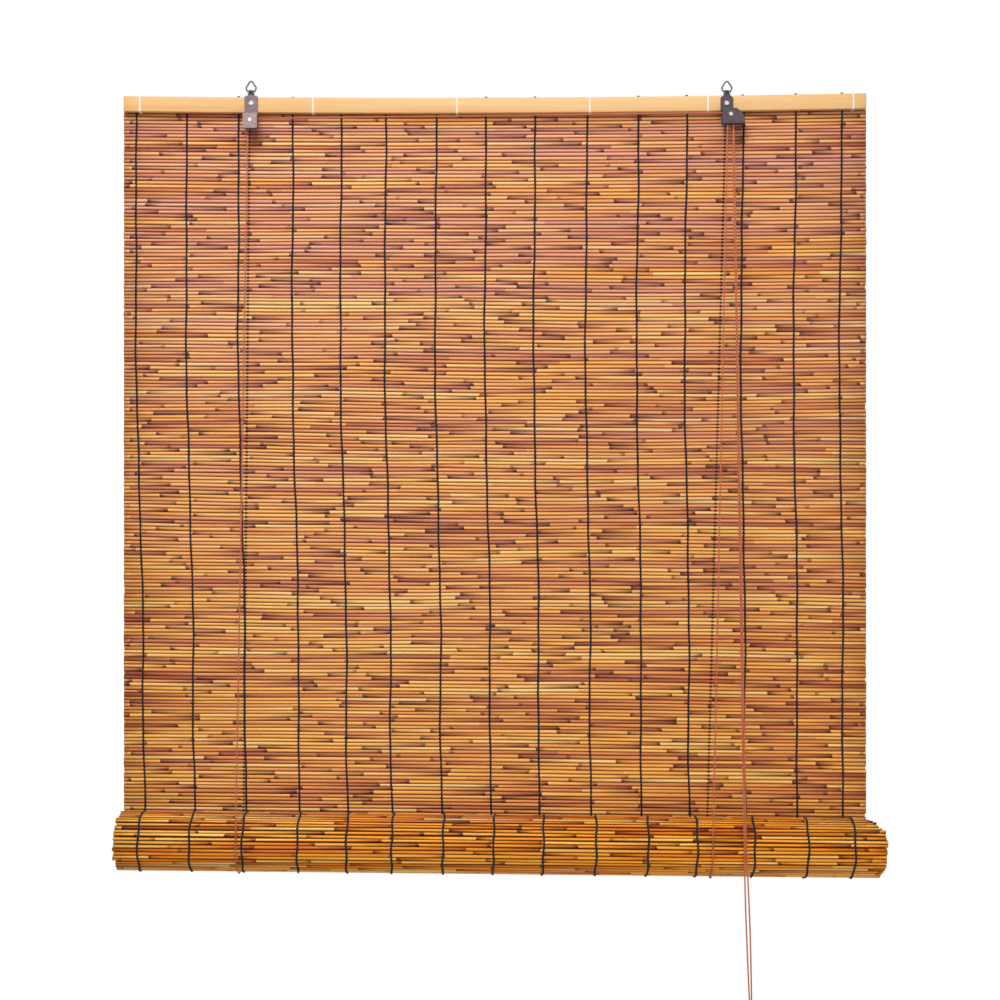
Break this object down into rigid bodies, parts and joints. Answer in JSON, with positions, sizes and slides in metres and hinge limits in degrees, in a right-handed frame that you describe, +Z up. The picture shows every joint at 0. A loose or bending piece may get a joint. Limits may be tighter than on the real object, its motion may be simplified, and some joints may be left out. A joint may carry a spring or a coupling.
{
  "type": "reed roll up blind",
  "caption": "Wide blind of bound reeds hanging from a wooden headrail on rings, its lower half wound into a roll lifted by cords through a pulley and a cord lock.",
  "frame": {"origin": "midway between the inside tops of the two hanging rings, where their hooks bear", "axes": "+Z up, +X to the right seen from the front, the front faces -Y"},
  "size_m": [1.0138, 0.0916, 1.2691],
  "materials": {
    "pine": "planed pale pine, unfinished",
    "reed": "dry reed stems, tan to golden with dark nodes",
    "black_twine": "thin black twisted twine",
    "white_thread": "white cotton thread",
    "terracotta_cord": "woven terracotta cord",
    "grey_metal": "dull zinc-grey pressed steel",
    "dark_metal": "dark brown-grey pressed steel",
    "pin_steel": "bright steel",
    "wheel_plastic": "off-white moulded plastic"
  },
  "bodies": {
    "headrail": {"headrail": "pine", "headrail_ties": "white_thread", "reed_mat": "reed", "warp_twines": "black_twine", "twine_knots": "black_twine", "left_bracket": "grey_metal", "right_bracket": "dark_metal", "left_bracket_screw": "pin_steel", "right_bracket_screw": "pin_steel", "left_pulley_pin": "pin_steel", "right_pulley_pin": "pin_steel", "pulley_cords": "terracotta_cord", "left_lift_front": "terracotta_cord", "right_lift_front": "terracotta_cord", "left_lift_back": "terracotta_cord", "right_lift_back": "terracotta_cord", "cord_staples": "pin_steel", "pull_cords_upper": "terracotta_cord"},
    "left_ring": {"left_ring": "grey_metal"},
    "right_ring": {"right_ring": "dark_metal"},
    "left_pulley": {"left_pulley": "wheel_plastic"},
    "right_pulley": {"right_pulley": "wheel_plastic"},
    "lock_roller": {"lock_roller": "pin_steel"},
    "sling": {"left_sling": "terracotta_cord", "right_sling": "terracotta_cord"},
    "roll": {"reed_roll": "reed", "roll_twines": "black_twine", "bottom_bar": "pine"},
    "pull": {"pull_cords_lower": "terracotta_cord", "pull_knot": "terracotta_cord"}
  },
  "joints": [
    {"name": "left_ring_swing", "type": "hinge", "parent": "headrail", "child": "left_ring", "pos_m": [-0.3265, 0, -0.0126], "axis": [1, 0, 0], "range_deg": [-80, 80]},
    {"name": "right_ring_swing", "type": "hinge", "parent": "headrail", "child": "right_ring", "pos_m": [0.3105, 0, -0.0126], "axis": [1, 0, 0], "range_deg": [-80, 80]},
    {"name": "lock_release", "type": "slide", "parent": "headrail", "child": "lock_roller", "axis": [0.7361, 0, -0.6769], "range_m": [0, 0.005]},
    {"name": "roll_lift", "type": "slide", "parent": "headrail", "child": "sling", "axis": [0, 0, 1], "range_m": [0, 0.87], "deforming": ["reed_mat", "warp_twines", "left_lift_front", "right_lift_front", "left_lift_back", "right_lift_back", "pull_cords_upper"]},
    {"name": "roll_spin", "type": "hinge", "parent": "sling", "child": "roll", "pos_m": [0.0074, -0.024, -1.01507], "axis": [0.9999, 0, -0.0105], "continuous": true},
    {"name": "left_pulley_spin", "type": "hinge", "parent": "headrail", "child": "left_pulley", "pos_m": [-0.3265, 0, -0.0532], "axis": [0, 1, 0], "continuous": true},
    {"name": "right_pulley_spin", "type": "hinge", "parent": "headrail", "child": "right_pulley", "pos_m": [0.3142, 0, -0.0455], "axis": [0, 1, 0], "continuous": true},
    {"name": "pull_draw", "type": "slide", "parent": "sling", "child": "pull", "axis": [0, 0, 1], "range_m": [-2.61, 0], "deforming": ["pull_cords_lower"]}
  ],
  "couplings": [
    {"joint": "roll_spin", "follows": "roll_lift", "rad_per_m": -26.46},
    {"joint": "left_pulley_spin", "follows": "roll_lift", "rad_per_m": 540.54},
    {"joint": "right_pulley_spin", "follows": "roll_lift", "rad_per_m": 540.54},
    {"joint": "pull_draw", "follows": "roll_lift", "ratio": -3}
  ]
}
